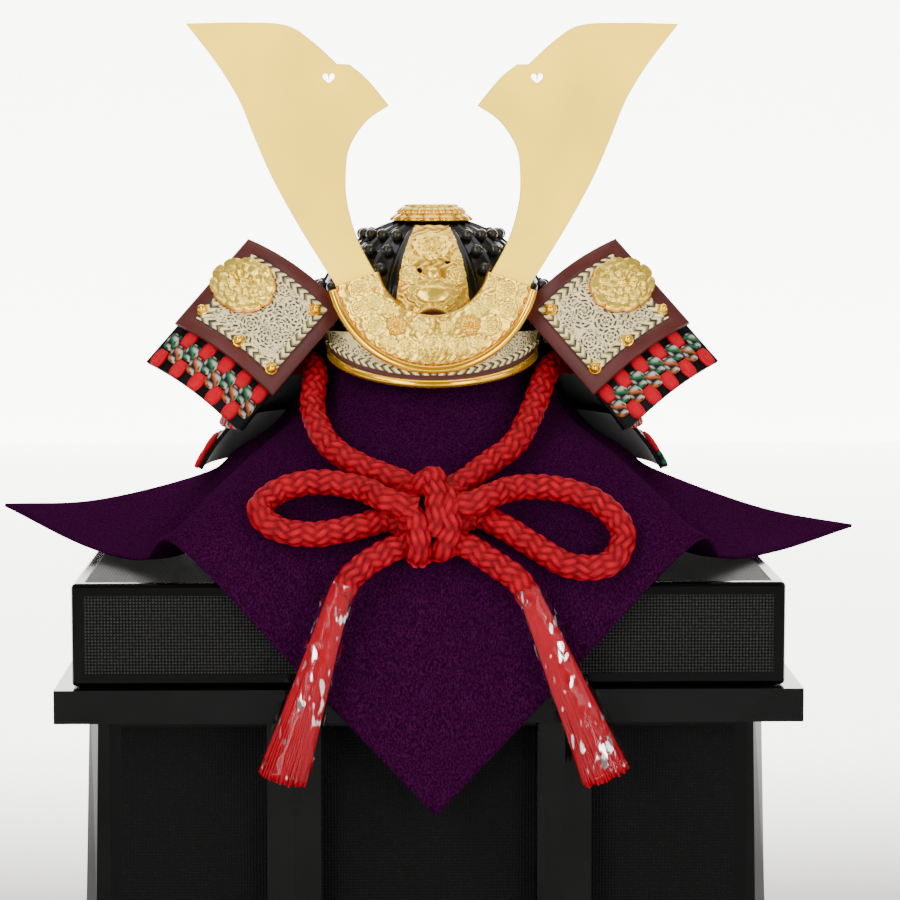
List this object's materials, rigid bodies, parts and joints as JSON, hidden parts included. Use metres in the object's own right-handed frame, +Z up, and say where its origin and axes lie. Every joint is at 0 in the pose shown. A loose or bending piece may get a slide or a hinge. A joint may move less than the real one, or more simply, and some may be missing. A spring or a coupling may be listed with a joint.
{
  "type": "kabuto samurai helmet on a cloth-draped display chest",
  "caption": "Small display kabuto: ribbed bowl, forked horns, lamed neck guard and bow-tied cord, on a draped square cloth over a footed chest.",
  "frame": {"origin": "on the floor under the middle of the chest", "axes": "+X to the right seen from the front, +Y to the back, +Z up"},
  "size_m": [0.3885, 0.2663, 0.4337],
  "materials": {
    "lacquer": "gloss black lacquer",
    "crepe": "fine crepe",
    "core": "plain",
    "steel": "black lacquered plates",
    "relief_gold": "bright cast relief",
    "rim_gold": "polished",
    "satin_gold": "satin",
    "printed_leather": "printed",
    "edge_leather": "matte",
    "lame": "black lacquer",
    "red_cord": "braided",
    "film": "clear film"
  },
  "bodies": {
    "root": {"chest_body": "lacquer", "chest_ledge": "lacquer", "chest_lid": "lacquer", "leg_front_left": "lacquer", "leg_front_right": "lacquer", "leg_back_left": "lacquer", "leg_back_right": "lacquer", "leg_side_left": "lacquer", "leg_side_right": "lacquer", "core_stand": "core", "cloth": "crepe", "bowl": "steel", "crown_ornament": "relief_gold", "front_plate": "relief_gold", "visor": "printed_leather", "visor_rim": "rim_gold", "horn_holder": "relief_gold", "holder_rim": "rim_gold", "holder_stud_left": "rim_gold", "holder_stud_right": "rim_gold", "horn_left": "satin_gold", "horn_right": "satin_gold", "flap_left": "printed_leather", "flap_right": "printed_leather", "flap_edging_left": "edge_leather", "flap_edging_right": "edge_leather", "crest_left": "rim_gold", "crest_right": "rim_gold", "under_flap_left": "lame", "under_flap_right": "lame", "flap_stud_1_left": "rim_gold", "flap_stud_1_right": "rim_gold", "flap_stud_2_left": "rim_gold", "flap_stud_2_right": "rim_gold", "flap_stud_3_left": "rim_gold", "flap_stud_3_right": "rim_gold", "flap_stud_4_left": "rim_gold", "flap_stud_4_right": "rim_gold", "neck_lame_upper": "lame", "neck_lame_middle": "lame", "neck_lame_lower": "lame", "cord_band": "red_cord", "cord_loop_left": "red_cord", "cord_loop_right": "red_cord", "cord_tail_left": "red_cord", "cord_tail_right": "red_cord", "cord_knot": "red_cord", "tassel_left": "red_cord", "tassel_right": "red_cord", "tassel_wrap_left": "film", "tassel_wrap_right": "film"}
  },
  "joints": []
}
